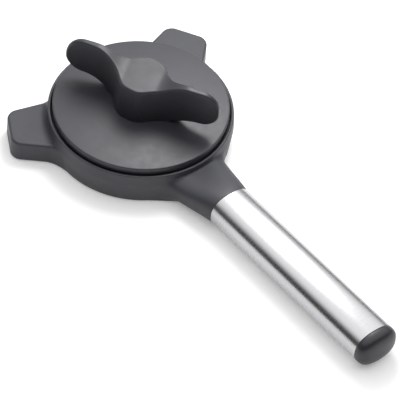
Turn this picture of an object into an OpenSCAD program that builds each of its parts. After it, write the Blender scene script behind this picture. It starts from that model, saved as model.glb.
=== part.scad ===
// Jar-lid opener: three jaws drawn inwards by a scroll plate under a turning dial, with a tube handle.
// Frame: origin on the dial's axis at the base plane, +X along the handle, +Z up. Millimetres.
// Jaw 1 lies under the neck of the handle, jaws 2 and 3 are 120 and 240 degrees round from it.

/* [Head] */
// Outer radius of the body wall
wall_r = 47.2; // [47:0.1:47.6]
// Radius of the rim edge around the dial
rim_r = 46.1; // [46:0.1:46.4]
// Height of the rim edge above the base
rim_top = 18.2; // [17.8:0.1:18.8]
// Height of the tops of the lugs
lug_top = 11.8; // [11.7:0.05:11.95]
// Distance from the dial's axis to the tip of a lug
lug_tip = 66.4; // [66:0.2:67.6]
// Half of a lug's width at its tip
lug_half = 11; // [10.8:0.1:12]
// Widening of a lug on each side, per millimetre inwards
lug_flare = 0.232; // [0.2:0.01:0.26]
// Radius of the corners at a lug's tip
lug_corner = 4.5; // [3:0.5:5]
// Radius of the fillet where a lug leaves the wall, seen from above
lug_fillet = 12; // [8:1:14]
// Thickness of the moulded walls
wall_t = 1.7; // [1.6:0.1:1.9]
// Thickness of the moulded floor, which is also the top wall of the lugs
floor_t = 1.8; // [1.6:0.1:1.8]

/* [Handle] */
// Half of the tube's width
tube_a = 11.9; // [11.5:0.1:12.2]
// Half of the tube's height, which is also the height of its axis
tube_b = 9.35; // [9:0.05:9.6]
// Exponent of the tube's rounded section, 2 for an ellipse
tube_n = 2.4; // [2:0.1:2.8]
// Wall thickness of the steel tube
tube_t = 0.8; // [0.6:0.1:1]
// Where the steel tube starts
tube_start = 71.2; // [71:0.2:72.2]
// Length of the steel tube
tube_len = 110.2; // [100:0.2:120]
// Length of the visible part of the end cap
cap_len = 6.8; // [6:0.2:9]

/* [Dial and knob] */
// Radius of the dial
dial_r = 44.5; // [44.3:0.1:44.7]
// Height of the dial's flat top
dial_top = 21.6; // [21.4:0.1:22]
// Direction of the knob's long axis at rest, from +X
knob_turn = 17; // [-60:1:60]
// Distance from the axis to the knob's wing tips
knob_reach = 42.7; // [41:0.1:43]
// Half of the hub's width at its top
hub_half = 12.8; // [12:0.1:14]
// Height of the hub above the dial
hub_top = 21.5; // [20:0.5:23]
// Height of the wings above the dial
wing_top = 28.2; // [26:0.2:30]
// Height of the wings' undersides above the dial
wing_low = 6; // [5:0.5:7]
// Half of a wing's thickness
wing_half = 1.5; // [1.3:0.1:2]
// Sideways sweep of each wing at its tip
wing_sweep = 6; // [0:0.5:7]

/* [Scroll and jaws] */
// Movement of a jaw for one turn of the dial
scroll_pitch = 8.5; // [8.2:0.1:8.6]
// Turns of the dial from fully open to fully closed
scroll_turns = 3; // [2.8:0.1:3]
// Radius of the scroll groove where it starts
groove_start_r = 41; // [40.8:0.1:41.2]
// Diameter of a follower pin
pin_d = 4; // [3.8:0.1:4.2]
// Radial clearance between a follower pin and its groove
groove_gap = 0.15; // [0.1:0.05:0.2]
// Radius of the gripping face of a pad when fully open
pad_open_r = 44; // [43.6:0.1:44.2]
// Thickness of a rubber pad
pad_t = 3.2; // [3:0.1:3.4]
// Half of a pad's width
pad_half = 9.5; // [8.5:0.1:9.6]
// Half of a slide's width
slide_half = 5; // [4.6:0.1:5]

/* [Hidden] */

plastic = [0.22, 0.225, 0.235];
dial_plastic = [0.27, 0.275, 0.285];
steel = [0.78, 0.79, 0.8];
zinc = [0.6, 0.61, 0.62];
acetal = [0.85, 0.84, 0.8];
rubber = [0.1, 0.1, 0.11];
brass = [0.75, 0.62, 0.32];

eps = 0.01;            // overlap that joins two solids of one moulding
run = 0.02;            // radial clearance of a shaft, pin or screw in its hole
loose = 0.1;           // radial clearance of a screw in a part that it only passes through
gap = 0.2;             // clearance between flat faces that slide past each other

// Heights of the layers, from the base up
floor_top = lug_top;
floor_low = lug_top - floor_t;
slide_t = 1.8;
slide_top = floor_low - gap;
slide_low = slide_top - slide_t;
plate_t = 1.5;
plate_top = slide_low - gap;
plate_low = plate_top - plate_t;
shoe_top = plate_low - gap;
shoe_low = 0.6;
scroll_low = floor_top + 0.3;
scroll_t = 4;
scroll_top = scroll_low + scroll_t;
groove_depth = 2.6;
dial_t = 2.6;
dial_low = dial_top - dial_t;
pin_top = scroll_low + groove_depth - 0.4;

// Head, seen from above
cavity_r = 45.25;
pocket_r = 44.2;
lugs = [0, 120, 240];
posts = [60, 180, 300];
post_r = 38;
post_half = 3.2;
screw_r = 1.25;
rail_t = 1.5;
rail_gap = 0.2;
lug_step = 0.05;        // how much lower the ceiling is inside a lug than in the pocket

// Jaws
pin_r = pin_d / 2;
travel = scroll_pitch * scroll_turns;
groove_half = pin_r + groove_gap;
slide_in = 31;
slide_out = 62;
shoe_in = pad_open_r + pad_t;
shoe_t = 3.3;
stem_t = 4;
stem_half = 3;
slot_half = stem_half + rail_gap;
rivet_r = 0.8;
rivet_side = 1.6;
serration = 0.7;
serration_step = 2;

// Spindle and bush
spindle_r = 3;
spindle_neck_r = 2.3;   // radius inside the groove that takes the spring clip
spindle_head_r = 6;
spindle_head_t = 1.5;
bush_r = 4.2;
boss_r = 5.9;
boss_top = 14.2;
flange_t = 0.7;
washer_t = 0.4;
clip_t = 0.5;
clip_low = floor_low - washer_t - clip_t - 0.1;

// Screws through the dial
knob_screw_r = 1.5;
knob_screw_x = 9.4;     // distance from the axis, clear of the dial's boss
knob_screw_head_t = 1.6;
scroll_screw_r = 1.1;
land_angles = [60, 180, 300];   // where the screws pass between two turns of the groove

// Handle
core_gap = 0.1;
spigot_len = 17;
tie_r = 2;
tie_gap = 0.3;          // radial clearance of the tie screw along its bore
insert_r = 3.4;
insert_len = 8.5;
core_start = tube_start + spigot_len;
core_end = tube_start + tube_len - 14;

// Knob
hub_spread = 10.7;      // distance from the axis at which the hub has thinned half way to a wing
hub_fall = 3.4;         // how sharply it thins

function knob_r(s) = wing_half + (hub_half - wing_half) / (1 + pow(abs(s) / hub_spread, hub_fall));
function knob_bend(s) = wing_sweep * pow(s / knob_reach, 3);
function smooth(k) = k <= 0 ? 0 : k >= 1 ? 1 : k * k * (3 - 2 * k);
function turned(p, a) = [p[0] * cos(a) - p[1] * sin(a), p[0] * sin(a) + p[1] * cos(a)];
function pin_open_r(n) = groove_start_r - (n - 1) * scroll_pitch / 3;
function groove_r(a) = groove_start_r - scroll_pitch * a / 360;
function land_r(k) = groove_r(land_angles[k] + 180);

// Rounded oval section of the tube and the parts that fit it
function oval(a, b, n = 64) = [for (i = [0:n - 1]) let (c = cos(360 * i / n), s = sin(360 * i / n))
    [a * sign(c) * pow(abs(c), 2 / tube_n), b * sign(s) * pow(abs(s), 2 / tube_n)]];

// One side of a lug's outline, from the wall out to the middle of its tip, with the fillet to a wall of
// radius r and a rounded tip corner
function lug_side(tip, half, r, fillet, corner, k = 6) =
    let (len = sqrt(1 + lug_flare * lug_flare),
        n = [lug_flare / len, 1 / len], d = [1 / len, -lug_flare / len],
        c = (lug_flare * tip + half) / len,
        along = sqrt(pow(r + fillet, 2) - pow(c + fillet, 2)),
        f = n * (c + fillet) + d * along,
        a0 = atan2(-f[1], -f[0]), a1 = atan2(-n[1], -n[0]),
        q = [tip - corner, 0], s = (c - corner - n[0] * q[0]) / n[1], t = [q[0], s],
        b1 = atan2(n[1], n[0]))
    concat([[0.8 * r, 0.8 * f[1]]],
        [for (i = [0:k]) f + fillet * [cos(a0 + (a1 - a0) * i / k), sin(a0 + (a1 - a0) * i / k)]],
        [for (i = [0:k]) t + corner * [cos(b1 * (1 - i / k)), sin(b1 * (1 - i / k))]]);

function both_sides(p) = concat(p, [for (i = [len(p) - 1:-1:0]) [p[i][0], -p[i][1]]]);

module lug(tip, half, r, fillet, corner, h) {
    linear_extrude(h) polygon(both_sides(lug_side(tip, half, r, fillet, corner)));
}

// Section of the head's outer wall, turned about the axis
module head_solid() {
    bottom = 2.2;
    shoulder = 3;
    rotate_extrude($fn = 180) polygon(concat([[0, 0]],
        [for (i = [0:5]) [wall_r - bottom + bottom * sin(18 * i), bottom - bottom * cos(18 * i)]],
        [[wall_r, rim_top - shoulder], [(wall_r + rim_r) / 2 + 0.2, rim_top - shoulder / 3],
            [rim_r, rim_top], [0, rim_top]]));
}

// Neck that blends the head into the tube, and the spigot that enters the tube
module neck_solid() {
    root_x = 42;
    root_half = lug_half + lug_flare * (lug_tip - root_x) + 1;
    root_top = 14.6;
    hull() {
        translate([tube_start - eps, 0, tube_b]) rotate([90, 0, 90])
            linear_extrude(eps) polygon(oval(tube_a, tube_b, 32));
        translate([root_x, -root_half, 0]) cube([eps, 2 * root_half, lug_top - 1]);
        translate([root_x, -root_half + 5, 0]) cube([eps, 2 * root_half - 10, root_top]);
    }
    translate([tube_start - 5, 0, tube_b]) rotate([90, 0, 90]) linear_extrude(5 + spigot_len)
        polygon(oval(tube_a - tube_t - core_gap, tube_b - tube_t - core_gap));
}

module lug_hollow() {
    inset = wall_t * sqrt(1 + lug_flare * lug_flare);
    translate([0, 0, -eps]) lug(lug_tip - wall_t, lug_half - inset, pocket_r, 3, lug_corner - 1.5,
        floor_low + eps - lug_step);
}

module rails() {
    for (side = [-1, 1])
        translate([8, side * (slide_half + rail_gap + rail_t / 2) - rail_t / 2, plate_top + 0.05])
            cube([slide_out - 9, rail_t, floor_low - plate_top - 0.05 + eps]);
}

module pin_slot(n) {
    half = pin_r + rail_gap;
    outer = pin_open_r(n);
    translate([0, 0, floor_low - 1]) {
        translate([outer, 0, 0]) cylinder(r = half, h = floor_t + 2, $fn = 48);
        translate([outer - travel, 0, 0]) cylinder(r = half, h = floor_t + 2, $fn = 48);
        translate([outer - travel, -half, 0]) cube([travel, 2 * half, floor_t + 2]);
    }
}

module housing() color(plastic) {
    difference() {
        union() {
            difference() {
                union() {
                    head_solid();
                    for (a = lugs) rotate(a)
                        lug(lug_tip, lug_half, wall_r, lug_fillet, lug_corner, lug_top);
                    neck_solid();
                }
                translate([0, 0, floor_top]) cylinder(r = cavity_r, h = 20, $fn = 180);
                translate([0, 0, -eps]) cylinder(r = pocket_r, h = floor_low + eps, $fn = 180);
                for (a = lugs) rotate(a) lug_hollow();
            }
            for (a = lugs) rotate(a) rails();
            for (a = posts) rotate(a) translate([post_r, 0, plate_top])
                cylinder(r = post_half, h = floor_low - plate_top + eps, $fn = 48);
            cylinder(r = boss_r, h = boss_top, $fn = 72);
        }
        translate([0, 0, -1]) cylinder(r = boss_r + 0.1, h = floor_low + 1, $fn = 72);
        cylinder(r = bush_r + run, h = 30, $fn = 72);
        for (n = [1:3]) rotate(lugs[n - 1]) pin_slot(n);
        for (a = posts) rotate(a) translate([post_r, 0, plate_top - 1])
            cylinder(r = screw_r + run, h = floor_top - plate_top + 0.5, $fn = 36);
        translate([core_start - insert_len - 0.5, 0, tube_b]) rotate([0, 90, 0])
            cylinder(r = insert_r + run, h = insert_len + 1, $fn = 48);
        translate([tube_start - 1, 0, tube_b]) rotate([0, 90, 0])
            cylinder(r = tie_r + tie_gap, h = spigot_len, $fn = 48);
    }
}

module guide_plate() color(steel) {
    difference() {
        translate([0, 0, plate_low]) cylinder(r = pocket_r - 0.2, h = plate_t, $fn = 180);
        for (a = lugs) rotate(a) translate([shoe_in - travel - 0.6, -slot_half, plate_low - 1])
            cube([wall_r, 2 * slot_half, plate_t + 2]);
        for (a = posts) rotate(a) translate([post_r, 0, plate_low]) {
            translate([0, 0, -1]) cylinder(r = screw_r + 0.15, h = plate_t + 2, $fn = 36);
            translate([0, 0, -eps]) cylinder(r1 = 2 * screw_r + 0.1, r2 = screw_r + 0.15,
                h = 1.3, $fn = 48);
        }
    }
}

// Countersunk screw with its head's face at z = 0 and its shank upwards
module flush_screw(r, len, head = 1.2) {
    slot_w = 0.5;
    difference() {
        union() {
            cylinder(r1 = 2 * r, r2 = r, h = head, $fn = 48);
            cylinder(r = r, h = len, $fn = 36);
        }
        for (a = [0, 90]) rotate(a) translate([-r, -slot_w / 2, -eps]) cube([2 * r, slot_w, head / 2]);
    }
}

module guide_screws() color(steel) {
    for (a = posts) rotate(a) translate([post_r, 0, plate_low]) flush_screw(screw_r, 5);
}

module centre_bush() color(brass) {
    difference() {
        union() {
            translate([0, 0, floor_low]) cylinder(r = bush_r, h = boss_top - floor_low, $fn = 72);
            translate([0, 0, boss_top]) cylinder(r = boss_r, h = flange_t, $fn = 72);
        }
        cylinder(r = spindle_r + run, h = 30, $fn = 72);
    }
}

module neck_insert() color(brass) {
    translate([core_start - insert_len, 0, tube_b]) rotate([0, 90, 0]) difference() {
        cylinder(r = insert_r, h = insert_len, $fn = 48);
        translate([0, 0, -1]) cylinder(r = tie_r + run, h = insert_len + 2, $fn = 48);
    }
}

// Ribbed plastic core that fills the steel tube, bored along its axis for the tie screw
module handle_core() color(plastic) {
    rib = 2.4;
    disc_t = 3;
    core_len = core_end - core_start;
    discs = 5;
    step = (core_len - disc_t) / (discs - 1);
    outline = oval(tube_a - tube_t - core_gap, tube_b - tube_t - core_gap);
    translate([core_start, 0, tube_b]) rotate([90, 0, 90]) difference() {
        union() {
            for (i = [0:discs - 1]) translate([0, 0, i * step]) linear_extrude(disc_t) polygon(outline);
            linear_extrude(core_len) intersection() {
                polygon(outline);
                union() {
                    square([2 * tube_a, rib], center = true);
                    square([rib, 2 * tube_b], center = true);
                    circle(r = tie_r + rib, $fn = 48);
                }
            }
        }
        translate([0, 0, -1]) cylinder(r = tie_r + tie_gap, h = core_len + 2, $fn = 48);
    }
}

module handle_tube() color(steel) {
    translate([tube_start, 0, tube_b]) rotate([90, 0, 90]) linear_extrude(tube_len) difference() {
        polygon(oval(tube_a, tube_b));
        polygon(oval(tube_a - tube_t, tube_b - tube_t));
    }
}

// Long socket-head screw that ties the core and the tube to the neck
module handle_screw() color(zinc) {
    head_r = 3.5;
    head_t = 3;
    socket_r = 1.7;
    translate([core_end, 0, tube_b]) rotate([0, -90, 0]) {
        cylinder(r = tie_r, h = core_end - core_start + insert_len - 0.5, $fn = 48);
        translate([0, 0, -head_t]) difference() {
            cylinder(r = head_r, h = head_t, $fn = 48);
            translate([0, 0, -eps]) cylinder(r = socket_r, h = head_t / 2, $fn = 6);
        }
    }
}

module end_cap() color(plastic) {
    cap_x = tube_start + tube_len;
    plug_len = 9;
    difference() {
        union() {
            hull() {
                translate([cap_x, 0, tube_b]) rotate([90, 0, 90])
                    linear_extrude(cap_len - 2.6) polygon(oval(tube_a, tube_b, 48));
                translate([cap_x, 0, tube_b]) rotate([90, 0, 90])
                    linear_extrude(cap_len - 0.8) polygon(oval(tube_a - 0.8, tube_b - 0.8, 48));
                translate([cap_x, 0, tube_b]) rotate([90, 0, 90])
                    linear_extrude(cap_len) polygon(oval(tube_a - 2.4, tube_b - 2.4, 48));
            }
            translate([cap_x - plug_len, 0, tube_b]) rotate([90, 0, 90]) linear_extrude(plug_len + 1)
                polygon(oval(tube_a - tube_t - core_gap, tube_b - tube_t - core_gap));
        }
        translate([cap_x - plug_len - 1, 0, tube_b]) rotate([90, 0, 90]) linear_extrude(plug_len)
            polygon(oval(tube_a - tube_t - 1.8, tube_b - tube_t - 1.8));
    }
}

module dial_plate() color(dial_plastic) {
    skirt_t = 2.2;
    edge = 0.6;
    pillar_r = 2.8;
    boss_low = boss_top + flange_t + 0.1;
    difference() {
        union() {
            rotate_extrude($fn = 180) polygon([[0, dial_low], [dial_r - skirt_t, dial_low],
                [dial_r - skirt_t, scroll_top], [dial_r, scroll_top], [dial_r, dial_top - edge],
                [dial_r - edge * 0.3, dial_top - edge * 0.3], [dial_r - edge, dial_top], [0, dial_top]]);
            translate([0, 0, boss_low]) cylinder(r = boss_r, h = dial_low - boss_low + eps, $fn = 72);
            for (k = [0:2]) rotate(land_angles[k]) translate([land_r(k), 0, scroll_top])
                cylinder(r = pillar_r, h = dial_low - scroll_top + eps, $fn = 48);
        }
        translate([0, 0, scroll_low]) cylinder(r = spindle_r + run, h = 30, $fn = 72);
        for (k = [0:2]) rotate(land_angles[k]) translate([land_r(k), 0, scroll_top - 1])
            cylinder(r = scroll_screw_r + run, h = 4.5, $fn = 36);
        rotate(knob_turn) for (side = [-1, 1]) translate([side * knob_screw_x, 0, dial_low - 1])
            cylinder(r = knob_screw_r + loose, h = dial_t + 2, $fn = 36);
    }
}

// Plan of the knob: a round hub with two thin wings that sweep to opposite sides
module knob_plan() {
    n = 40;
    s = [for (i = [0:n]) knob_reach * sign(i - n / 2) * pow(abs(2 * i / n - 1), 1.2)];
    polygon(concat([for (x = s) [x, knob_bend(x) - knob_r(x)]],
        [for (i = [n:-1:0]) [s[i], knob_bend(s[i]) + knob_r(s[i])]]));
}

// Side view of the knob: flat hub, raised wings with rounded tips, undersides clear of the dial
module knob_side() {
    lobe_x = 33.5;
    mid = 16;
    foot_x = 16;
    rise = [for (i = [0:8]) let (x = lobe_x * (1 - i / 8))
        [x, hub_top + (wing_top - hub_top) * smooth((x - 6) / 21)]];
    tip = [for (i = [0:14]) let (a = -90 + 180 * i / 14)
        [lobe_x + (knob_reach - lobe_x) * cos(a),
            mid + (a < 0 ? mid - wing_low : wing_top - mid) * sin(a)]];
    under = [for (i = [0:6]) let (x = foot_x + (lobe_x - foot_x) * i / 7)
        [x, wing_low * sin(90 * (x - foot_x) / (lobe_x - foot_x))]];
    half = concat(under, tip, rise);
    polygon(concat(half, [for (i = [len(half) - 2:-1:0]) [-half[i][0], half[i][1]]]));
}

module turn_knob() color(plastic) {
    translate([0, 0, dial_top]) rotate(knob_turn) difference() {
        intersection() {
            linear_extrude(wing_top + 1) knob_plan();
            rotate([90, 0, 0]) translate([0, 0, -30]) linear_extrude(60) knob_side();
        }
        translate([0, 0, -1]) cylinder(r = spindle_head_r + gap, h = spindle_head_t + 1.1, $fn = 72);
        for (side = [-1, 1]) translate([side * knob_screw_x, 0, -1])
            cylinder(r = knob_screw_r + run, h = 11, $fn = 36);
    }
}

module knob_screws() color(steel) {
    head_r = 2.8;
    slot_len = 3.2;
    slot_w = 0.6;
    rotate(knob_turn) for (side = [-1, 1])
        translate([side * knob_screw_x, 0, dial_low - knob_screw_head_t]) difference() {
            union() {
                cylinder(r = head_r, h = knob_screw_head_t, $fn = 48);
                cylinder(r = knob_screw_r, h = knob_screw_head_t + dial_t + 8, $fn = 36);
            }
            for (a = [0, 90]) rotate(a) translate([-slot_len / 2, -slot_w / 2, -eps])
                cube([slot_len, slot_w, knob_screw_head_t / 2]);
        }
}

// Spiral groove, wide at the groove's mouth on the underside; one pitch inwards for each turn
module groove_plan() {
    last = 240 + 360 * scroll_turns + 10;
    first = -10;
    step = 5;
    angles = [for (a = [first:step:last]) a];
    function at(a, side) = (groove_r(a) + side * groove_half) * [cos(a), sin(a)];
    turns = floor((last - first) / 360) + 1;
    for (k = [0:turns - 1]) {
        from = first + 360 * k;
        to = min(last, from + 360 + step);
        part = [for (a = [from:step:to]) a];
        if (to > from) polygon(concat([for (a = part) at(a, 1)],
            [for (i = [len(part) - 1:-1:0]) at(part[i], -1)]));
    }
    for (a = [first, angles[len(angles) - 1]])
        translate(groove_r(a) * [cos(a), sin(a)]) circle(r = groove_half, $fn = 48);
}

module scroll_plate() color(acetal) {
    difference() {
        translate([0, 0, scroll_low]) cylinder(r = dial_r - 0.2, h = scroll_t, $fn = 180);
        translate([0, 0, scroll_low - 1]) cylinder(r = boss_r + 0.3, h = scroll_t + 2, $fn = 72);
        translate([0, 0, scroll_low - 1]) linear_extrude(groove_depth + 1) groove_plan();
        for (k = [0:2]) rotate(land_angles[k]) translate([land_r(k), 0, scroll_low]) {
            translate([0, 0, -1]) cylinder(r = scroll_screw_r + loose, h = scroll_t + 2, $fn = 36);
            translate([0, 0, -eps]) cylinder(r1 = 2.2, r2 = scroll_screw_r + loose, h = 1.2, $fn = 36);
        }
    }
}

module scroll_screws() color(steel) {
    for (k = [0:2]) rotate(land_angles[k]) translate([land_r(k), 0, scroll_low + 0.15])
        difference() {
            union() {
                cylinder(r1 = 1.9, r2 = scroll_screw_r, h = 0.8, $fn = 36);
                cylinder(r = scroll_screw_r, h = 6, $fn = 36);
            }
            for (a = [0, 90]) rotate(a) translate([-1, -0.2, -eps]) cube([2, 0.4, 0.5]);
        }
}

module spindle() color(steel) {
    tail = clip_low - 0.6;
    difference() {
        union() {
            translate([0, 0, tail]) cylinder(r = spindle_r, h = dial_top - tail + eps, $fn = 72);
            translate([0, 0, dial_top]) cylinder(r = spindle_head_r, h = spindle_head_t, $fn = 72);
        }
        translate([0, 0, clip_low]) difference() {
            cylinder(r = spindle_r + 1, h = clip_t, $fn = 72);
            cylinder(r = spindle_neck_r, h = clip_t, $fn = 72);
        }
    }
}

module spindle_washer() color(steel) {
    translate([0, 0, floor_low - washer_t - 0.05]) difference() {
        cylinder(r = 4.8, h = washer_t, $fn = 72);
        translate([0, 0, -1]) cylinder(r = spindle_r + run, h = 3, $fn = 72);
    }
}

// Spring clip that snaps into the spindle's groove below the washer
module spindle_clip() color(steel) {
    clip_r = 4.4;
    mouth = 3.8;
    translate([0, 0, clip_low + run]) difference() {
        cylinder(r = clip_r, h = clip_t - 2 * run, $fn = 72);
        translate([0, 0, -1]) cylinder(r = spindle_neck_r + run, h = 3, $fn = 48);
        translate([-2 * clip_r, -mouth / 2, -1]) cube([2 * clip_r, mouth, 3]);
    }
}

module jaw_slide(n) {
    color(steel) rotate(lugs[n - 1]) difference() {
        translate([slide_in, -slide_half, slide_low]) cube([slide_out - slide_in, 2 * slide_half, slide_t]);
        translate([pin_open_r(n), 0, slide_low - 1]) cylinder(r = pin_r + run, h = 4, $fn = 48);
        for (side = [-1, 1]) translate([shoe_in + stem_t / 2, side * rivet_side, slide_low]) {
            translate([0, 0, -1]) cylinder(r = rivet_r + run, h = 4, $fn = 36);
            translate([0, 0, slide_t - 0.6]) cylinder(r1 = rivet_r + run, r2 = 1.5, h = 0.6 + eps, $fn = 36);
        }
    }
}

// Gripping shoe: a curved jaw below the guide plate with a stem up to its slide
module jaw_shoe(n) {
    color(zinc) rotate(lugs[n - 1]) difference() {
        union() {
            intersection() {
                difference() {
                    translate([0, 0, shoe_low]) cylinder(r = shoe_in + shoe_t, h = shoe_top - shoe_low,
                        $fn = 180);
                    translate([0, 0, shoe_low - 1]) cylinder(r = shoe_in, h = shoe_top + 1, $fn = 180);
                }
                translate([30, -pad_half, 0]) cube([30, 2 * pad_half, 20]);
            }
            translate([shoe_in, -stem_half, shoe_top - 2]) cube([stem_t, 2 * stem_half,
                slide_low - shoe_top + 2]);
        }
        for (side = [-1, 1]) translate([shoe_in + stem_t / 2, side * rivet_side, slide_low - 3])
            cylinder(r = rivet_r + run, h = 4, $fn = 36);
    }
}

module shoe_rivets(n) {
    color(steel) rotate(lugs[n - 1]) for (side = [-1, 1])
        translate([shoe_in + stem_t / 2, side * rivet_side, slide_low - 2.8]) {
            cylinder(r = rivet_r, h = slide_t + 2.8, $fn = 36);
            translate([0, 0, slide_t + 2.3]) cylinder(r1 = rivet_r, r2 = 1.3, h = 0.5, $fn = 36);
        }
}

module scroll_pin(n) {
    color(steel) rotate(lugs[n - 1]) translate([pin_open_r(n), 0, slide_low])
        cylinder(r = pin_r, h = pin_top - slide_low, $fn = 48);
}

// Rubber pad with upright grooves across its gripping face
module jaw_pad(n) {
    color(rubber) rotate(lugs[n - 1]) difference() {
        intersection() {
            difference() {
                translate([0, 0, shoe_low]) cylinder(r = shoe_in, h = shoe_top - shoe_low, $fn = 180);
                translate([0, 0, shoe_low - 1]) cylinder(r = pad_open_r, h = shoe_top + 1, $fn = 180);
            }
            translate([30, -pad_half, 0]) cube([30, 2 * pad_half, 20]);
        }
        teeth = floor(pad_half / serration_step);
        for (i = [-teeth:teeth]) rotate(i * serration_step / pad_open_r * 180 / PI)
            translate([pad_open_r, 0, shoe_low - 1]) rotate(45)
                cube([serration, serration, 2 * shoe_top]);
    }
}

module jaw_slide_1() jaw_slide(1);
module jaw_slide_2() jaw_slide(2);
module jaw_slide_3() jaw_slide(3);
module jaw_shoe_1() jaw_shoe(1);
module jaw_shoe_2() jaw_shoe(2);
module jaw_shoe_3() jaw_shoe(3);
module shoe_rivets_1() shoe_rivets(1);
module shoe_rivets_2() shoe_rivets(2);
module shoe_rivets_3() shoe_rivets(3);
module scroll_pin_1() scroll_pin(1);
module scroll_pin_2() scroll_pin(2);
module scroll_pin_3() scroll_pin(3);
module jaw_pad_1() jaw_pad(1);
module jaw_pad_2() jaw_pad(2);
module jaw_pad_3() jaw_pad(3);

housing();
guide_plate();
guide_screws();
centre_bush();
neck_insert();
handle_core();
handle_tube();
handle_screw();
end_cap();
dial_plate();
turn_knob();
knob_screws();
scroll_plate();
scroll_screws();
spindle();
spindle_washer();
spindle_clip();
jaw_slide_1();
jaw_slide_2();
jaw_slide_3();
jaw_shoe_1();
jaw_shoe_2();
jaw_shoe_3();
shoe_rivets_1();
shoe_rivets_2();
shoe_rivets_3();
scroll_pin_1();
scroll_pin_2();
scroll_pin_3();
jaw_pad_1();
jaw_pad_2();
jaw_pad_3();
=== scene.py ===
"""Looks for the jar-lid opener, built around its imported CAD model.

Lengths in the shape formulas are millimetres, as in the CAD model; meshes are made in metres.
A shape formula takes arrays x, y, z and gives the distance to the surface, negative inside.
"""

import math

import bpy
import numpy as np
from mathutils import Matrix, Quaternion, Vector


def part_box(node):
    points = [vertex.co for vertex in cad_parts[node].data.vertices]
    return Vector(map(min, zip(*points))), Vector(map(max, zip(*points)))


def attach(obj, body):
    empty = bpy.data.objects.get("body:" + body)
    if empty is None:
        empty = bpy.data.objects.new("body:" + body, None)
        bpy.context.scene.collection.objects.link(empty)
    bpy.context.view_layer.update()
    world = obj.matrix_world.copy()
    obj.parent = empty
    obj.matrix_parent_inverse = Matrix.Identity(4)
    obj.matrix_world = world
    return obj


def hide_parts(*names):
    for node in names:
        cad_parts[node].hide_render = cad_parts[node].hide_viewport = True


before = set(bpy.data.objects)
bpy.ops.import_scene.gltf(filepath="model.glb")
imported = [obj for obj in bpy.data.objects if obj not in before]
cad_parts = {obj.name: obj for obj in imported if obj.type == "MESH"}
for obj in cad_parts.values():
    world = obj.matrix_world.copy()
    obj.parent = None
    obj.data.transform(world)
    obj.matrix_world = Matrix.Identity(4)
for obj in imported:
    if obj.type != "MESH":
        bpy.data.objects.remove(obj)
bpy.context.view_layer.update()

MM = 0.001


def top_of(node):
    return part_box(node)[1].z / MM


# ---------------------------------------------------------------- sizes, from the frame
DIAL_TOP = top_of("dial_plate")
DIAL_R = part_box("dial_plate")[1].x / MM
SCROLL_TOP = top_of("scroll_plate")
WALL_R = -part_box("housing")[0].x / MM
TUBE_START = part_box("handle_tube")[0].x / MM
TUBE_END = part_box("handle_tube")[1].x / MM
TUBE_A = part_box("handle_tube")[1].y / MM
TUBE_B = top_of("handle_tube") / 2
CAP_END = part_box("end_cap")[1].x / MM
SPIGOT_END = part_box("handle_core")[0].x / MM
PLATE_TOP = top_of("guide_plate")
FLANGE_T = 0.7          # of the flange on top of the centre bush
BOSS_TOP = top_of("centre_bush") - FLANGE_T
WING_DROP = 1.2         # how much lower the wings end than in the CAD model
WING_TOP = top_of("turn_knob") - DIAL_TOP - WING_DROP

# ---------------------------------------------------------------- sizes of the moulded shapes
# Head
RIM_R = 46.8
RIM_TOP = 18.2
RIM_EDGE = 0.5
WALL_BASE_R = 45.9
WALL_BASE_EDGE = 2.2
WALL_T = 1.7
CAVITY_R = 45.25
CAVITY_EDGE = 0.8
CAVITY_CORNER = 0.4
POCKET_R = 44.2
POCKET_CORNER = 0.5
POCKET_EDGE = 0.4
FLOOR_LOW = 10.0

# Lugs
JAW_ANGLES = (0, 120, 240)
LUG_ANGLES = (120, 240)
LUG_TOP = 11.8
LUG_TIP = 66.4
LUG_HALF = 11.0
LUG_FLARE = 0.232
LUG_ROOT = 20.0
LUG_CORNER = 4.5
LUG_INNER_CORNER = 3.0
LUG_FILLET = 6.0        # at the base, where it is largest
LUG_FILLET_TOP = 2.5
LUG_TOP_EDGE = 1.3
LUG_BASE_EDGE = 0.9
LUG_ROOF_FILLET = 3.0   # between the tops of the lugs and the wall, reached at a depth of ROOF_DEPTH
ROOF_DEPTH = 2.5

# Rails, screw posts, centre boss and pin slots under the floor
RAIL_OFFSET = 5.95
RAIL_HALF = 0.75
RAIL_MIDDLE = 34.5
RAIL_HALF_LENGTH = 26.5
RAIL_GAP = 0.05
JOIN = 0.3              # how far rails and posts run into the floor
POST_ANGLES = (60, 180, 300)
POST_PLACE = 38.0
POST_R = 3.2
BOSS_R = 5.9
BUSH_HOLE_R = 4.22
PIN_OUT = 41.0
SCROLL_PITCH = 8.5
TRAVEL = 3 * SCROLL_PITCH
PIN_SLOT_HALF = 2.2
PIN_SLOT_REACH = 6.0

# Neck and handle
NECK_ROOT = 46.0
NECK_START = 38.0       # the neck runs into the wall to here
NECK_FLARE = 0.19
NECK_LOW = 7.5          # half-height of the neck's root
NECK_N = 3.0            # exponent of the oval at the neck's root
NECK_EDGE = 0.15
NECK_FILLET_TOP = 1.0
NECK_FILLET_MORE = 7.0  # how much larger the fillet is at the base
TUBE_T = 0.8
TUBE_N = 2.4
TUBE_EDGE = 0.15
FIT = 0.1
SPIGOT_EDGE = 0.6
SPIGOT_ROOT = 5.0
PLUG_LENGTH = 9.0
PLUG_CHAMFER = 0.6
PLUG_TAPER = 0.8
CAP_GAP = 0.05          # between the end of the tube and the cap
CAP_BEVEL = 0.25        # at the cap's edge beside the tube
CAP_LAND = 1.0          # straight part of the cap before its end curves in
CAP_N = 2.8
CAP_TIP = 0.004         # share of the section left at the very end

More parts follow.
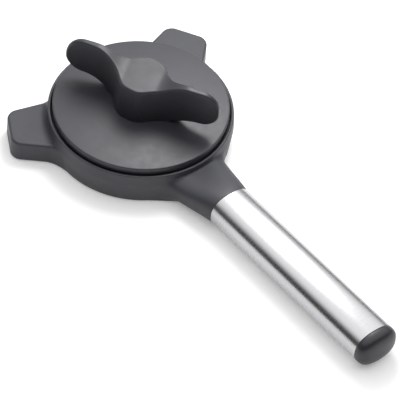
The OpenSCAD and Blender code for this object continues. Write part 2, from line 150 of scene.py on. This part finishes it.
# Dial and knob
DIAL_CROWN = 1.8        # how much higher the dial's top is in the middle than at its edge
DIAL_T = 2.6
DIAL_EDGE = 0.6
DIAL_SKIRT = 2.2
DIAL_HOLE_R = 3.02
DIAL_HUB_R = 5.9
DIAL_HUB_GAP = 0.8
KNOB_ANGLE = 17.0
KNOB_REACH = 42.7
KNOB_BEND = 6.0         # sideways offset of the wings' tips
KNOB_SKEW = 0.3         # the hub's flat lies slantwise across the knob
KNOB_EDGE = 1.1
HUB_TOP = 21.5
HUB_HALF = 12.8
HUB_FLAT = 9.0
HUB_SPREAD = 10.7       # how far out the hub's width has halved on its way to the wings'
HUB_FALL = 3.4
HUB_DRAFT = 1.6
HUB_DRAFT_REACH = 17.0
WING_HALF = 1.5
WING_FOOT = 16.0        # where the underside of a wing leaves the dial
WING_LOW = 6.0
WING_MIDDLE = 16.0
WING_RISE_END = 27.0
LOBE_START = 33.5


# ---------------------------------------------------------------- shape formulas
def both(a, b, r):
    """Where both shapes are, with outward edges rounded to radius r."""
    return np.minimum(-r, np.maximum(a, b)) + np.hypot(np.maximum(a + r, 0), np.maximum(b + r, 0))


def either(a, b, r):
    """Where either shape is, with the inward corner filled to radius r."""
    return np.maximum(r, np.minimum(a, b)) - np.hypot(np.maximum(r - a, 0), np.maximum(r - b, 0))


def turned(x, y, degrees):
    c, s = math.cos(math.radians(degrees)), math.sin(math.radians(degrees))
    return x * c + y * s, y * c - x * s


def oval(y, z, a, b, n=TUBE_N):
    """Rounded oval section of half-width a and half-height b, as an approximate distance."""
    ry, rz = np.abs(y) / a, np.abs(z) / b
    size = np.maximum((ry**n + rz**n) ** (1 / n), 1e-6)
    slope = np.hypot((ry / size) ** (n - 1) / a, (rz / size) ** (n - 1) / b)
    return (size - 1) / slope


def lug_plan(x, y, tip, half, corner, angle):
    u, v = turned(x, y, angle)
    side = (np.abs(v) - half - LUG_FLARE * (tip - u)) / math.hypot(1, LUG_FLARE)
    return np.maximum(both(side, u - tip, corner), LUG_ROOT - u)


def lugs_plan(x, y, inset, corner, angles):
    half = LUG_HALF - inset * math.hypot(1, LUG_FLARE)
    return np.minimum.reduce([lug_plan(x, y, LUG_TIP - inset, half, corner, a) for a in angles])


def wall_radius(z):
    """The wall is widest level with the tops of the lugs, and leans in to the rim and the base."""
    above = np.clip((z - LUG_TOP) / (RIM_TOP - LUG_TOP), 0, 1)
    below = np.clip(1 - z / LUG_TOP, 0, 1)
    return WALL_R + (RIM_R - WALL_R) * above + (WALL_BASE_R - WALL_R) * below


def corner_fillet(z):
    """Radius of the fillet between a lug's side and the wall, smaller higher up."""
    k = np.clip(z / LUG_TOP, 0, 1)
    return LUG_FILLET + (LUG_FILLET_TOP - LUG_FILLET) * k**1.5


def neck(x, y, z):
    """From a low, wide root at the wall up to the section of the tube."""
    k = np.clip((x - NECK_ROOT) / (TUBE_START - NECK_ROOT), 0, 1)
    rise = k * k * (3 - 2 * k)
    half = TUBE_A + NECK_FLARE * (TUBE_START - x)
    high = NECK_LOW + (TUBE_B - NECK_LOW) * rise
    upper = oval(y, z - high, half, high, NECK_N + (TUBE_N - NECK_N) * k)
    lower = oval(y, z - high, half, high, NECK_N + (TUBE_N - NECK_N) * rise)
    section = np.where(z > high, upper, lower)
    return np.maximum(both(section, x - TUBE_START, NECK_EDGE), NECK_START - x)


def outer_shape(x, y, z):
    """Wall, lugs and neck, filled in."""
    wall = np.hypot(x, y) - wall_radius(z)
    head = both(both(wall, -z, WALL_BASE_EDGE), z - RIM_TOP, RIM_EDGE)
    plan = either(wall, lugs_plan(x, y, 0, LUG_CORNER, LUG_ANGLES), corner_fillet(z))
    lugs = both(both(plan, z - LUG_TOP, LUG_TOP_EDGE), -z, LUG_BASE_EDGE)
    shape = either(head, lugs, LUG_ROOF_FILLET * np.clip(-plan / ROOF_DEPTH, 0, 1))
    below_top = np.clip(1 - z / (2 * NECK_LOW), 0, 1)
    return either(shape, neck(x, y, z), NECK_FILLET_TOP + NECK_FILLET_MORE * below_top**0.6)


def with_fittings(shape, x, y, z):
    """Adds the rails, screw posts and centre boss under and on the floor, and cuts the pin slots."""
    rho = np.hypot(x, y)
    for angle in JAW_ANGLES:
        u, v = turned(x, y, angle)
        rail = np.maximum(np.abs(np.abs(v) - RAIL_OFFSET) - RAIL_HALF,
                          np.abs(u - RAIL_MIDDLE) - RAIL_HALF_LENGTH)
        rail = np.maximum(rail, np.maximum(PLATE_TOP + RAIL_GAP - z, z - FLOOR_LOW - JOIN))
        shape = np.minimum(shape, rail)
    for angle in POST_ANGLES:
        u, v = turned(x, y, angle)
        post = np.maximum(np.hypot(u - POST_PLACE, v) - POST_R,
                          np.maximum(PLATE_TOP - z, z - FLOOR_LOW - JOIN))
        shape = np.minimum(shape, post)
    boss = np.maximum(rho - BOSS_R, np.maximum(FLOOR_LOW - z, z - BOSS_TOP))
    shape = np.maximum(np.maximum(np.minimum(shape, boss), BUSH_HOLE_R - rho), -z)
    for number, angle in enumerate(JAW_ANGLES):
        u, v = turned(x, y, angle)
        outer = PIN_OUT - number * SCROLL_PITCH / 3
        slot = np.hypot(u - np.clip(u, outer - TRAVEL, outer), v) - PIN_SLOT_HALF
        shape = np.maximum(shape, -np.maximum(slot, np.abs(z - FLOOR_LOW) - PIN_SLOT_REACH))
    return shape


def housing_shape(x, y, z):
    rho = np.hypot(x, y)
    cavity = both(rho - CAVITY_R, LUG_TOP - z, CAVITY_CORNER)
    shape = both(outer_shape(x, y, z), -cavity, CAVITY_EDGE)
    inner_lugs = lugs_plan(x, y, WALL_T, LUG_INNER_CORNER, JAW_ANGLES)
    hollow_plan = either(rho - POCKET_R, inner_lugs, LUG_INNER_CORNER)
    shape = both(shape, -both(hollow_plan, z - FLOOR_LOW, POCKET_CORNER), POCKET_EDGE)
    spigot = oval(y, z - TUBE_B, TUBE_A - TUBE_T - FIT, TUBE_B - TUBE_T - FIT)
    spigot = np.maximum(both(spigot, x - SPIGOT_END, SPIGOT_EDGE), TUBE_START - SPIGOT_ROOT - x)
    return with_fittings(np.minimum(shape, spigot), x, y, z)


# ---------------------------------------------------------------- the knob
def outline_distance(points, low, high, step=0.2):
    us = np.arange(low[0], high[0] + step, step)
    vs = np.arange(low[1], high[1] + step, step)
    grid_u, grid_v = np.meshgrid(us, vs, indexing="ij")
    best = np.full(grid_u.shape, 1e9)
    inside = np.zeros(grid_u.shape, bool)
    for (u0, v0), (u1, v1) in zip(points, points[1:] + points[:1]):
        du, dv = u1 - u0, v1 - v0
        t = np.clip(((grid_u - u0) * du + (grid_v - v0) * dv) / (du * du + dv * dv), 0, 1)
        best = np.minimum(best, np.hypot(grid_u - u0 - t * du, grid_v - v0 - t * dv))
        crosses = (v0 > grid_v) != (v1 > grid_v)
        inside ^= crosses & (grid_u < u0 + du * (grid_v - v0) / (dv if dv else 1e-12))
    table = np.where(inside, -best, best)

    def lookup(u, v):
        fu = np.clip((u - low[0]) / step, 0, len(us) - 1.001)
        fv = np.clip((v - low[1]) / step, 0, len(vs) - 1.001)
        i, j = fu.astype(int), fv.astype(int)
        a, b = fu - i, fv - j
        near = table[i, j] * (1 - b) + table[i, j + 1] * b
        far = table[i + 1, j] * (1 - b) + table[i + 1, j + 1] * b
        return near * (1 - a) + far * a

    return lookup


def knob_half_width(s):
    return WING_HALF + (HUB_HALF - WING_HALF) / (1 + (abs(s) / HUB_SPREAD) ** HUB_FALL)


def knob_bend(s):
    return KNOB_BEND * (s / KNOB_REACH) ** 3


def knob_plan_outline():
    places = [KNOB_REACH * math.sin(math.radians(a)) for a in np.linspace(-90, 90, 121)]
    near = [(s, knob_bend(s) - knob_half_width(s)) for s in places]
    far = [(s, knob_bend(s) + knob_half_width(s)) for s in reversed(places)]
    return near + far


def knob_side_outline():
    """Flat hub, wings that rise to rounded lobes, undersides that clear the dial."""
    half = []
    for s in np.linspace(WING_FOOT, LOBE_START, 12):
        share = (s - WING_FOOT) / (LOBE_START - WING_FOOT)
        half.append((s, WING_LOW * math.sin(math.pi / 2 * share)))
    for a in np.linspace(-90, 90, 41)[1:]:
        r = math.radians(a)
        reach = WING_MIDDLE - WING_LOW if a < 0 else WING_TOP - WING_MIDDLE
        out = LOBE_START + (KNOB_REACH - LOBE_START) * math.cos(r)
        half.append((out, WING_MIDDLE + reach * math.sin(r)))
    for s in np.linspace(LOBE_START, 0, 40)[1:]:
        k = min(max((s - HUB_FLAT) / (WING_RISE_END - HUB_FLAT), 0), 1)
        half.append((s, HUB_TOP + (WING_TOP - HUB_TOP) * k * k * (3 - 2 * k)))
    return half + [(-s, z) for s, z in reversed(half[:-1])]


def make_knob_shape():
    plan = outline_distance(knob_plan_outline(), (-46, -20), (46, 20))
    side = outline_distance(knob_side_outline(), (-46, -4), (46, 32))

    def shape(x, y, z):
        s, t = turned(x, y, KNOB_ANGLE)
        h = z - DIAL_TOP
        draft = HUB_DRAFT * np.clip(1 - h / HUB_TOP, 0, 1) * np.exp(-((s / HUB_DRAFT_REACH) ** 4))
        along = s + KNOB_SKEW * (t - knob_bend(s))
        return both(plan(s, t) - draft, side(along, h), KNOB_EDGE)

    return shape


# ---------------------------------------------------------------- meshes
def surface(name, shape, low, high, step):
    """A closed smooth mesh of the surface of a shape formula, in the box from low to high.

    Each cell of a grid that the surface crosses gets a point, at the mean of the crossings on its
    edges, and each crossed edge gets a face between the points of the four cells around it.
    """
    axes = [np.arange(a, b + step, step) for a, b in zip(low, high)]
    x, y, z = np.meshgrid(*axes, indexing="ij")
    value = shape(x, y, z)
    inside = value < 0
    cells = tuple(n - 1 for n in value.shape)
    total = np.zeros((3,) + cells)
    count = np.zeros(cells)
    crossings = []
    for d in range(3):
        lower = [slice(None)] * 3
        upper = [slice(None)] * 3
        lower[d], upper[d] = slice(0, -1), slice(1, None)
        a, b = value[tuple(lower)], value[tuple(upper)]
        cross = inside[tuple(lower)] != inside[tuple(upper)]
        at = np.where(cross, a / np.where(cross, a - b, 1), 0)
        crossings.append((cross, inside[tuple(lower)]))
        e, g = [k for k in range(3) if k != d]
        for i in (0, 1):
            for j in (0, 1):
                cut = [slice(None)] * 3
                cut[e] = slice(i, i + cells[e])
                cut[g] = slice(j, j + cells[g])
                hit = cross[tuple(cut)]
                total[d] += at[tuple(cut)]
                total[e] += hit * i
                total[g] += hit * j
                count += hit
    used = count > 0
    index = np.full(cells, -1)
    index[used] = np.arange(used.sum())
    cell = np.argwhere(used)
    points = np.array(low) + step * (cell + (total[:, used] / count[used]).T)
    quads = []
    for d in range(3):
        cross, starts_inside = crossings[d]
        e, g = (d + 1) % 3, (d + 2) % 3
        places = np.argwhere(cross)
        places = places[(places[:, e] > 0) & (places[:, g] > 0)]
        places = places[(places[:, e] < cells[e]) & (places[:, g] < cells[g])]
        ring = []
        for i, j in ((1, 1), (0, 1), (0, 0), (1, 0)):
            p = places.copy()
            p[:, e] -= i
            p[:, g] -= j
            ring.append(index[tuple(p.T)])
        ring = np.stack(ring, 1)
        outward = starts_inside[tuple(places.T)]
        quads.append(np.where(outward[:, None], ring, ring[:, ::-1]))
    quads = np.concatenate(quads)
    for _ in range(3):      # even out the points, then put them back onto the surface
        points = onto(shape, relaxed(points, quads), step)
    return build(name, (points * MM).tolist(), quads.tolist(), slope(shape, points))


def slope(shape, points, h=0.04):
    """Unit outward normals of a shape formula at points."""
    out = np.empty_like(points)
    for d in range(3):
        near, far = points.copy(), points.copy()
        near[:, d] -= h
        far[:, d] += h
        out[:, d] = (shape(*far.T) - shape(*near.T)) / (2 * h)
    return out / np.maximum(np.linalg.norm(out, axis=1), 1e-9)[:, None]


def onto(shape, points, step):
    """Moves points onto the surface along its slope."""
    for _ in range(2):
        off = np.clip(shape(*points.T), -step / 2, step / 2)
        points = points - off[:, None] * slope(shape, points)
    return points


def relaxed(points, quads):
    """Evens out the spacing of the points."""
    total = np.zeros_like(points)
    count = np.zeros(len(points))
    for a, b in ((0, 1), (1, 2), (2, 3), (3, 0)):
        for i, j in ((a, b), (b, a)):
            for d in range(3):
                total[:, d] += np.bincount(quads[:, i], points[quads[:, j], d], len(points))
            count += np.bincount(quads[:, i], minlength=len(points))
    return points + 0.5 * (total / count[:, None] - points)


def build(name, points, faces, normals=None):
    mesh = bpy.data.meshes.new(name)
    mesh.from_pydata(points, [], faces)
    mesh.validate()
    mesh.shade_smooth()
    if normals is not None:
        mesh.normals_split_custom_set_from_vertices(normals.tolist())
    piece = bpy.data.objects.new(name, mesh)
    bpy.context.scene.collection.objects.link(piece)
    return piece


def rounded_path(corners, steps=6):
    """Closed outline through corners (u, v, radius), each rounded by an arc of its radius."""
    out = []
    n = len(corners)
    for i, (u, v, r) in enumerate(corners):
        here = Vector((u, v))
        if not r:
            out.append((u, v))
            continue
        back = (Vector(corners[i - 1][:2]) - here).normalized()
        ahead = (Vector(corners[(i + 1) % n][:2]) - here).normalized()
        half = back.angle(ahead) / 2
        centre = here + (back + ahead).normalized() * (r / math.sin(half))
        start = here + back * (r / math.tan(half)) - centre
        end = here + ahead * (r / math.tan(half)) - centre
        turn = start.angle_signed(end)
        for k in range(steps + 1):
            p = start.copy()
            p.rotate(Matrix.Rotation(-turn * k / steps, 2))
            out.append(tuple(centre + p))
    return out


def lathe(name, outline, segments=256):
    """A closed solid from an outline of (radius, height), in millimetres."""
    n = len(outline)
    points = []
    for k in range(segments):
        c, s = math.cos(2 * math.pi * k / segments), math.sin(2 * math.pi * k / segments)
        points += [(r * c * MM, r * s * MM, z * MM) for r, z in outline]
    faces = []
    for k in range(segments):
        m = (k + 1) % segments
        for i in range(n):
            j = (i + 1) % n
            faces.append((k * n + i, m * n + i, m * n + j, k * n + j))
    return build(name, points, faces)


def oval_loft(name, stations, closed, segments=192):
    """A solid of oval sections: stations are (x, half-width, half-height), in millimetres."""
    n = len(stations)
    points = []
    for x, a, b in stations:
        for k in range(segments):
            c, s = math.cos(2 * math.pi * k / segments), math.sin(2 * math.pi * k / segments)
            y = a * math.copysign(abs(c) ** (2 / TUBE_N), c)
            z = b * math.copysign(abs(s) ** (2 / TUBE_N), s)
            points.append((x * MM, y * MM, (TUBE_B + z) * MM))
    faces = []
    for i in range(n if closed else n - 1):
        j = (i + 1) % n
        for k in range(segments):
            m = (k + 1) % segments
            faces.append((i * segments + k, j * segments + k, j * segments + m, i * segments + m))
    if not closed:
        faces.append(tuple(range(segments)))
        faces.append(tuple(reversed(range((n - 1) * segments, n * segments))))
    return build(name, points, faces)


# ---------------------------------------------------------------- materials
def material(name, colour, roughness, metallic=0.0):
    made = bpy.data.materials.new(name)
    made.use_nodes = True
    nodes = made.node_tree.nodes
    shader = nodes["Principled BSDF"]
    shader.inputs["Base Color"].default_value = (*colour, 1)
    shader.inputs["Roughness"].default_value = roughness
    shader.inputs["Metallic"].default_value = metallic
    return made, made.node_tree, shader


def noise(tree, scale, detail, stretch=None):
    """Noise in the row frame, scale in features per metre; stretch scales each axis."""
    coords = tree.nodes.new("ShaderNodeTexCoord")
    source = coords.outputs["Object"]
    if stretch:
        mapping = tree.nodes.new("ShaderNodeMapping")
        mapping.inputs["Scale"].default_value = stretch
        tree.links.new(source, mapping.inputs["Vector"])
        source = mapping.outputs["Vector"]
    node = tree.nodes.new("ShaderNodeTexNoise")
    node.inputs["Scale"].default_value = scale
    node.inputs["Detail"].default_value = detail
    tree.links.new(source, node.inputs["Vector"])
    return node.outputs["Fac"]


def spread(tree, source, low, high, start=0.3, end=0.7):
    node = tree.nodes.new("ShaderNodeMapRange")
    node.inputs["From Min"].default_value = start
    node.inputs["From Max"].default_value = end
    node.inputs["To Min"].default_value = low
    node.inputs["To Max"].default_value = high
    tree.links.new(source, node.inputs["Value"])
    return node.outputs["Result"]


def tint(tree, source, dark, light):
    node = tree.nodes.new("ShaderNodeMix")
    node.data_type = "RGBA"
    node.inputs["A"].default_value = (*dark, 1)
    node.inputs["B"].default_value = (*light, 1)
    tree.links.new(source, node.inputs["Factor"])
    return node.outputs["Result"]


def bump(tree, source, shader, distance):
    node = tree.nodes.new("ShaderNodeBump")
    node.inputs["Distance"].default_value = distance
    tree.links.new(source, node.inputs["Height"])
    tree.links.new(node.outputs["Normal"], shader.inputs["Normal"])


def plastic(name, colour, roughness, grain=0.000005):
    """Satin moulded plastic: fine spark-eroded grain, faint cloudiness in gloss and colour."""
    made, tree, shader = material(name, colour, roughness)
    cloud = noise(tree, 60, 3)
    darker = [c * 0.94 for c in colour]
    lighter = [c * 1.06 for c in colour]
    tree.links.new(tint(tree, spread(tree, cloud, 0, 1), darker, lighter), shader.inputs["Base Color"])
    rough = spread(tree, noise(tree, 220, 4), roughness - 0.03, roughness + 0.04)
    tree.links.new(rough, shader.inputs["Roughness"])
    bump(tree, noise(tree, 2600, 2), shader, grain)
    return made


def brushed(name, colour, roughness, stretch, scale, depth=0.000004, contrast=1.0):
    """Metal with fine lines that run along the axes that stretch scales down, or evenly mottled."""
    made, tree, shader = material(name, colour, roughness, 1.0)
    lines = noise(tree, scale, 4, stretch)
    darker = [c * (1 - 0.1 * contrast) for c in colour]
    tree.links.new(tint(tree, spread(tree, lines, 0, 1), darker, colour), shader.inputs["Base Color"])
    rough = spread(tree, lines, roughness - 0.05 * contrast, roughness + 0.06 * contrast)
    tree.links.new(rough, shader.inputs["Roughness"])
    bump(tree, lines, shader, depth)
    return made


def rubbery(name, colour):
    made, tree, shader = material(name, colour, 0.75)
    dust = noise(tree, 300, 5)
    tree.links.new(tint(tree, spread(tree, dust, 0, 1), colour, [c * 1.8 for c in colour]),
                   shader.inputs["Base Color"])
    bump(tree, noise(tree, 3000, 3), shader, 0.00003)
    return made


def dress(piece, made):
    piece.data.materials.clear()
    piece.data.materials.append(made)


BODY = plastic("body_plastic", (0.044, 0.045, 0.054), 0.52)
DIAL = plastic("dial_plastic", (0.036, 0.037, 0.045), 0.42)
KNOB = plastic("knob_plastic", (0.026, 0.027, 0.034), 0.4)
CAP = plastic("cap_plastic", (0.028, 0.029, 0.034), 0.36)
ACETAL = plastic("scroll_acetal", (0.62, 0.61, 0.57), 0.3, 0.000002)
CORE = plastic("core_plastic", (0.06, 0.06, 0.065), 0.5)
TUBE = brushed("tube_steel", (0.53, 0.53, 0.54), 0.28, (1.0, 0.1, 0.1), 3000, 0.0000001, 0.4)
PLATE = brushed("plate_steel", (0.5, 0.51, 0.52), 0.35, (1.0, 0.03, 1.0), 1500)
CAST = brushed("cast_metal", (0.3, 0.3, 0.31), 0.5, None, 1200, 0.00003)
BRIGHT = brushed("bright_steel", (0.6, 0.6, 0.61), 0.25, None, 900)
BRASS = brushed("turned_brass", (0.6, 0.42, 0.18), 0.3, None, 900)
RUBBER = rubbery("pad_rubber", (0.02, 0.02, 0.022))


# ---------------------------------------------------------------- pieces
def finish_piece(piece, made, body, slot, *nodes):
    dress(piece, made)
    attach(piece, body)
    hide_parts(*nodes)


def make_housing():
    low, high = (-49, -64, -1), (SPIGOT_END + 1.5, 64, 21)
    piece = surface("housing_moulding", housing_shape, low, high, 0.5)
    finish_piece(piece, BODY, "body", "body_plastic", "housing")


def make_knob():
    low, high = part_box("turn_knob")
    low = [v / MM - 2 for v in low]
    high = [v / MM + 2 for v in high]
    piece = surface("turn_knob_moulding", make_knob_shape(), low, high, 0.45)
    finish_piece(piece, KNOB, "dial", "knob_plastic", "turn_knob")


def crown(r):
    """Height of the dial's top at radius r."""
    return DIAL_TOP + DIAL_CROWN * (1 - (r / DIAL_R) ** 2)


def make_dial():
    low = DIAL_TOP - DIAL_T
    hub_low = BOSS_TOP + DIAL_HUB_GAP
    skirt_in = DIAL_R - DIAL_SKIRT
    top = [(r, crown(r), 0) for r in np.linspace(DIAL_R - 1, DIAL_HOLE_R, 40)]
    outline = rounded_path(top + [
        (DIAL_HOLE_R, hub_low, 0), (DIAL_HUB_R, hub_low, 0.3), (DIAL_HUB_R, low, 0.5),
        (skirt_in, low, 0.5), (skirt_in, SCROLL_TOP, 0.2), (DIAL_R, SCROLL_TOP, 0.2),
        (DIAL_R, DIAL_TOP, DIAL_EDGE),
    ])
    piece = lathe("dial_disc", outline)
    finish_piece(piece, DIAL, "dial", "dial_plastic", "dial_plate")


def make_tube():
    path = rounded_path([
        (TUBE_START, 0, TUBE_EDGE), (TUBE_END, 0, TUBE_EDGE),
        (TUBE_END, TUBE_T, TUBE_EDGE), (TUBE_START, TUBE_T, TUBE_EDGE),
    ], steps=3)
    stations = [(x, TUBE_A - inset, TUBE_B - inset) for x, inset in path]
    piece = oval_loft("handle_sleeve", stations, True)
    finish_piece(piece, TUBE, "body", "brushed_tube", "handle_tube")


def make_end_cap():
    """Plug inside the tube, and a cap whose end is softly crowned with a rounded edge."""
    insets = [
        (-PLUG_LENGTH, TUBE_T + FIT + PLUG_TAPER), (-PLUG_LENGTH + PLUG_CHAMFER, TUBE_T + FIT),
        (CAP_GAP, TUBE_T + FIT), (CAP_GAP + 0.03, CAP_BEVEL), (CAP_GAP + CAP_BEVEL, 0.02),
    ]
    stations = [(TUBE_END + x, TUBE_A - inset, TUBE_B - inset) for x, inset in insets]
    length = CAP_END - TUBE_END
    steps = 24
    for k in range(steps + 1):
        a = math.pi / 2 * k / steps
        size = max(math.cos(a) ** (2 / CAP_N), CAP_TIP)
        x = TUBE_END + CAP_LAND + (length - CAP_LAND) * math.sin(a) ** (2 / CAP_N)
        stations.append((x, TUBE_A * size, TUBE_B * size))
    piece = oval_loft("end_cap_moulding", stations, False)
    finish_piece(piece, CAP, "body", "body_plastic", "end_cap")


def dress_frame():
    finishes = {
        "guide_plate": PLATE, "jaw_slide": PLATE, "jaw_shoe": CAST, "jaw_pad": RUBBER,
        "scroll_plate": ACETAL, "handle_core": CORE, "centre_bush": BRASS, "neck_insert": BRASS,
    }
    for node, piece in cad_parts.items():
        made = next((m for start, m in finishes.items() if node.startswith(start)), BRIGHT)
        dress(piece, made)


# ---------------------------------------------------------------- stage, light and camera
def make_floor():
    half = FLOOR_SIZE / 2
    piece = build("floor", [(-half, -half, 0), (half, -half, 0), (half, half, 0), (-half, half, 0)],
                  [(0, 1, 2, 3)])
    made, tree, shader = material("floor_paper", (0.86, 0.86, 0.86), 0.9)
    shader.inputs["Emission Color"].default_value = (1, 1, 1, 1)
    shader.inputs["Emission Strength"].default_value = FLOOR_GLOW
    shader.inputs["Specular IOR Level"].default_value = 0.1
    dress(piece, made)
    piece.location.z = -FLOOR_GAP


def area_light(name, place, aim, size, power):
    data = bpy.data.lights.new(name, "AREA")
    data.shape = "RECTANGLE"
    data.size, data.size_y = size
    data.energy = power
    lamp = bpy.data.objects.new(name, data)
    lamp.location = place
    lamp.rotation_euler = (Vector(aim) - Vector(place)).to_track_quat("-Z", "Y").to_euler()
    lamp.visible_camera = False
    bpy.context.scene.collection.objects.link(lamp)


# Camera, floor and light, in degrees and metres. Azimuth 0 is the front (-Y), 90 the right (+X).
AZIMUTH = 47.41
ELEVATION = 47.524
ROLL = 5.0
DISTANCE = 2.305
LENS = 416.44           # focal length in millimetres, with a sensor 36 mm wide
AIM = (0.05325, -0.00347, 0.0)

FLOOR_SIZE = 6.0
FLOOR_GAP = 0.0003      # keeps the floor clear of the undersides
FLOOR_GLOW = 0.26
BRIGHT_AZIMUTH = AZIMUTH + 175
BRIGHT_ELEVATION = 72
DARK_END = 0.32         # cosines of the angle from the brightest direction
BRIGHT_START = 0.85
WORLD_LOW = 0.04
WORLD_HIGH = 1.4
SOFTBOX_TURN = 160
SOFTBOX_ELEVATION = 62
SOFTBOX_DISTANCE = 0.3
SOFTBOX_SIZE = (0.15, 0.15)
SOFTBOX_POWER = 0.6


def direction(azimuth, elevation):
    """Unit vector from the object towards a viewer."""
    a, e = math.radians(azimuth), math.radians(elevation)
    return Vector((math.sin(a) * math.cos(e), -math.cos(a) * math.cos(e), math.sin(e)))


def make_camera():
    data = bpy.data.cameras.new("camera")
    data.lens = LENS
    data.sensor_width = 36
    data.clip_start, data.clip_end = 0.1, 20
    camera = bpy.data.objects.new("camera", data)
    back = direction(AZIMUTH, ELEVATION)
    camera.location = Vector(AIM) + back * DISTANCE
    turn = (-back).to_track_quat("-Z", "Y")
    camera.rotation_mode = "QUATERNION"
    camera.rotation_quaternion = turn @ Quaternion((0, 0, 1), math.radians(ROLL))
    bpy.context.scene.collection.objects.link(camera)
    bpy.context.scene.camera = camera


def make_world():
    """Bright overhead and high up behind the object, dimmer in front, and dark at the horizon."""
    world = bpy.data.worlds.new("studio")
    world.use_nodes = True
    tree = world.node_tree
    background = tree.nodes["Background"]
    background.inputs["Color"].default_value = (1, 1, 1, 1)
    coords = tree.nodes.new("ShaderNodeTexCoord")
    facing = tree.nodes.new("ShaderNodeVectorMath")
    facing.operation = "DOT_PRODUCT"
    facing.inputs[1].default_value = direction(BRIGHT_AZIMUTH, BRIGHT_ELEVATION)
    tree.links.new(coords.outputs["Generated"], facing.inputs[0])
    strength = spread(tree, facing.outputs["Value"], WORLD_LOW, WORLD_HIGH, DARK_END, BRIGHT_START)
    strength.node.interpolation_type = "SMOOTHSTEP"
    tree.links.new(strength, background.inputs["Strength"])
    bpy.context.scene.world = world


def make_light():
    place = direction(AZIMUTH + SOFTBOX_TURN, SOFTBOX_ELEVATION) * SOFTBOX_DISTANCE
    area_light("overhead", place, (0, 0, 0), SOFTBOX_SIZE, SOFTBOX_POWER)
    bpy.context.scene.view_settings.view_transform = "Standard"


make_camera()
make_floor()
make_world()
make_light()
make_housing()
make_dial()
make_knob()
make_tube()
make_end_cap()
dress_frame()
